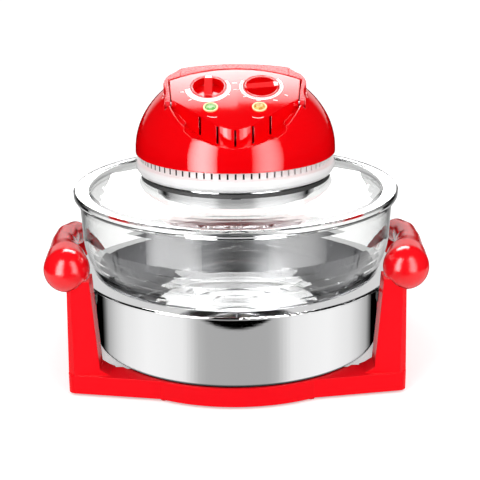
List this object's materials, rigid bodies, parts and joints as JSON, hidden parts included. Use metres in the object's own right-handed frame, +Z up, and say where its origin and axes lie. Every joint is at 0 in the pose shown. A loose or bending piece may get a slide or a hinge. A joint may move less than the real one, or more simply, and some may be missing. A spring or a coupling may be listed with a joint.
{
  "type": "halogen oven",
  "caption": "Countertop halogen oven: glass bowl in a steel pot on a moulded stand with side handles, under a glass lid with a heater head, two dials and a folding bail.",
  "frame": {"origin": "on the table, under the centre of the bowl", "axes": "+Z up, +X to the right seen from the front, -Y towards the user (controls side)"},
  "size_m": [0.3762, 0.33, 0.3028],
  "materials": {
    "red_plastic": "high gloss moulded",
    "black_rubber": "matte",
    "zinc": "zinc plated",
    "polished_steel": "polished",
    "clear_glass": "clear polished",
    "chrome": "mirror bright",
    "sheet_steel": "plain",
    "lamp_glass": "frosted quartz",
    "ceramic": "unglazed",
    "white_plastic": "satin gloss",
    "copper_winding": "enamelled wire",
    "bronze": "sintered",
    "green_lens": "translucent faceted",
    "amber_lens": "translucent faceted",
    "cream_plastic": "satin",
    "black_plastic": "satin",
    "aluminium": "stamped"
  },
  "bodies": {
    "base": {"base_frame": "red_plastic", "left_handle": "red_plastic", "right_handle": "red_plastic", "rest_pads": "black_rubber", "feet": "red_plastic", "handle_screws": "zinc"},
    "pot": {"steel_pot": "polished_steel"},
    "bowl": {"glass_bowl": "clear_glass"},
    "lid": {"lid_glass": "clear_glass", "neck_gasket": "black_rubber", "heater_can": "chrome", "reflector_pan": "sheet_steel", "heat_shield": "sheet_steel", "lamp_guard": "chrome", "halogen_tube": "lamp_glass", "lamp_holders": "ceramic", "vent_collar": "white_plastic", "head_cover": "red_plastic", "head_screws": "zinc", "motor_posts": "zinc", "motor_bracket": "sheet_steel", "motor_core": "sheet_steel", "motor_coil": "copper_winding", "motor_bushes": "bronze", "thermostat": "ceramic", "timer_clock": "sheet_steel", "power_lens": "green_lens", "heat_lens": "amber_lens", "lens_bezels": "cream_plastic", "indicator_bulbs": "lamp_glass", "safety_switch": "black_plastic", "terminal_block": "cream_plastic", "cord_gland": "black_plastic", "bail_pins": "zinc"},
    "bail": {"bail_handle": "red_plastic", "bail_grip": "red_plastic"},
    "temperature_dial": {"temperature_knob": "red_plastic"},
    "timer_dial": {"timer_knob": "red_plastic"},
    "fan_rotor": {"motor_shaft": "zinc", "motor_rotor": "sheet_steel", "cooling_fan": "aluminium", "convection_fan": "aluminium", "fan_nut": "bronze"},
    "plunger": {"switch_plunger": "white_plastic"}
  },
  "joints": [
    {"name": "pot_lift", "type": "slide", "parent": "base", "child": "pot", "axis": [0, 0, 1], "range_m": [0, 0.12]},
    {"name": "bowl_lift", "type": "slide", "parent": "pot", "child": "bowl", "axis": [0, 0, 1], "range_m": [0, 0.12]},
    {"name": "lid_lift", "type": "slide", "parent": "bowl", "child": "lid", "axis": [0, 0, 1], "range_m": [0, 0.15]},
    {"name": "bail_hinge", "type": "hinge", "parent": "lid", "child": "bail", "pos_m": [0, -0.04, 0.27259], "axis": [1, 0, 0], "range_deg": [0, 75]},
    {"name": "plunger_slide", "type": "slide", "parent": "lid", "child": "plunger", "axis": [0, 0, 1], "range_m": [0, 0.003]},
    {"name": "temperature_turn", "type": "hinge", "parent": "lid", "child": "temperature_dial", "pos_m": [-0.026, -0.021, 0.28636], "axis": [0, -0.4384, 0.8988], "range_deg": [-270, 0]},
    {"name": "timer_turn", "type": "hinge", "parent": "lid", "child": "timer_dial", "pos_m": [0.026, -0.021, 0.28636], "axis": [0, -0.4384, 0.8988], "range_deg": [-217, 83]},
    {"name": "fan_spin", "type": "hinge", "parent": "lid", "child": "fan_rotor", "pos_m": [0, 0, 0.2], "axis": [0, 0, 1], "continuous": true}
  ],
  "couplings": [
    {"joint": "plunger_slide", "follows": "bail_hinge", "m_per_rad": 0.00229}
  ]
}
